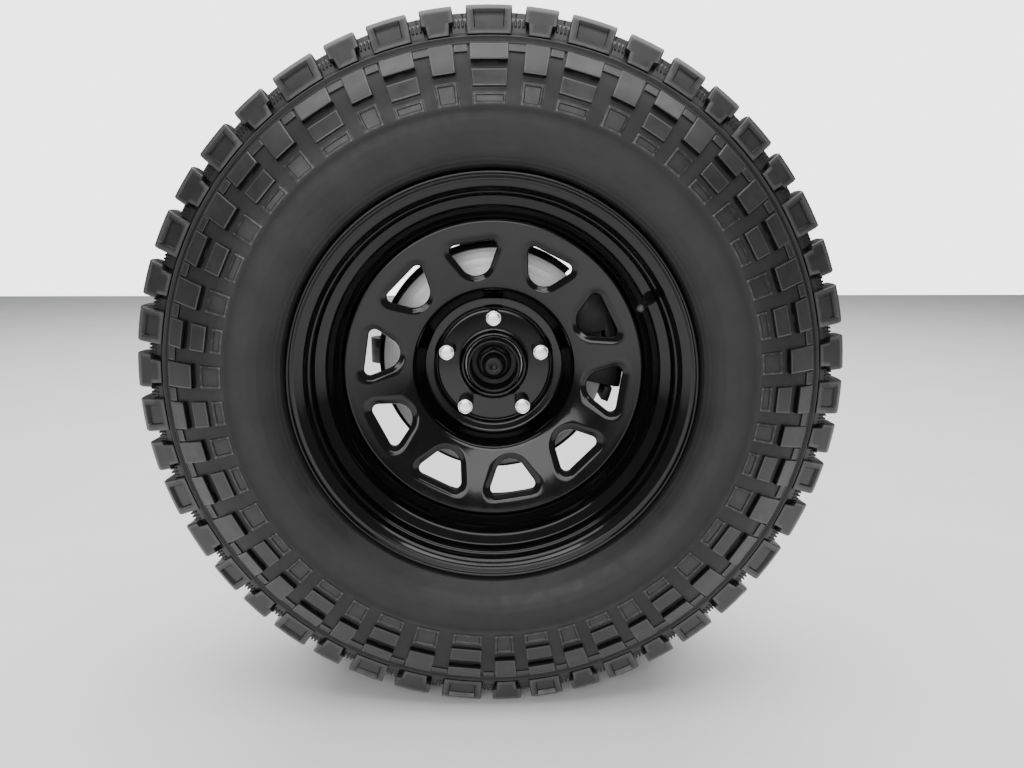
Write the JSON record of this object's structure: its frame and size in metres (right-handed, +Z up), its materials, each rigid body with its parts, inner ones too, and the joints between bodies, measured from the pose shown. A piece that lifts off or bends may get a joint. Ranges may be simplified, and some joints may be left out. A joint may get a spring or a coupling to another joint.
{
  "type": "off-road 4x4 front wheel end",
  "caption": "Mud-terrain tyre on a deep black pressed-steel wheel with D-shaped windows, carried by its hub, disc brake, steering knuckle and axle yoke.",
  "frame": {"origin": "middle of the axle yoke's socket for the axle tube, on the wheel's turning axis", "axes": "+Z up, +Y inboard along the axle, -Y outboard, -X towards the front of the vehicle"},
  "size_m": [0.835, 0.449, 0.8348],
  "materials": {
    "tyre": "matt",
    "black_gloss": "gloss",
    "chrome": "polished",
    "bare_steel": "turned",
    "casting": "as cast",
    "shield": "satin",
    "lining": "matt",
    "valve_rubber": "satin",
    "cap": "satin"
  },
  "bodies": {
    "axle_end": {"axle_yoke": "casting", "tube_socket": "casting", "upper_ball_joint": "bare_steel", "lower_ball_joint": "bare_steel"},
    "knuckle": {"steering_knuckle": "casting", "hub_bearing": "bare_steel", "dust_shield": "shield", "caliper_bracket": "casting", "brake_caliper": "casting", "outer_pad": "lining", "inner_pad": "lining", "guide_pins": "bare_steel"},
    "wheel": {"wheel_hub": "bare_steel", "wheel_studs": "bare_steel", "brake_disc": "bare_steel", "stub_axle": "bare_steel", "axle_nut": "bare_steel", "universal_joint_cross": "bare_steel", "wheel_disc": "black_gloss", "rim": "black_gloss", "tyre": "tyre", "lug_nuts": "chrome", "valve_stem": "valve_rubber", "valve_cap": "cap"}
  },
  "joints": [
    {"name": "steering", "type": "hinge", "parent": "axle_end", "child": "knuckle", "pos_m": [0, -0.125, 0], "axis": [0, 0, 1], "range_deg": [-33, 33]},
    {"name": "wheel_spin", "type": "hinge", "parent": "knuckle", "child": "wheel", "pos_m": [0, -0.25, 0], "axis": [0, 1, 0], "continuous": true}
  ]
}
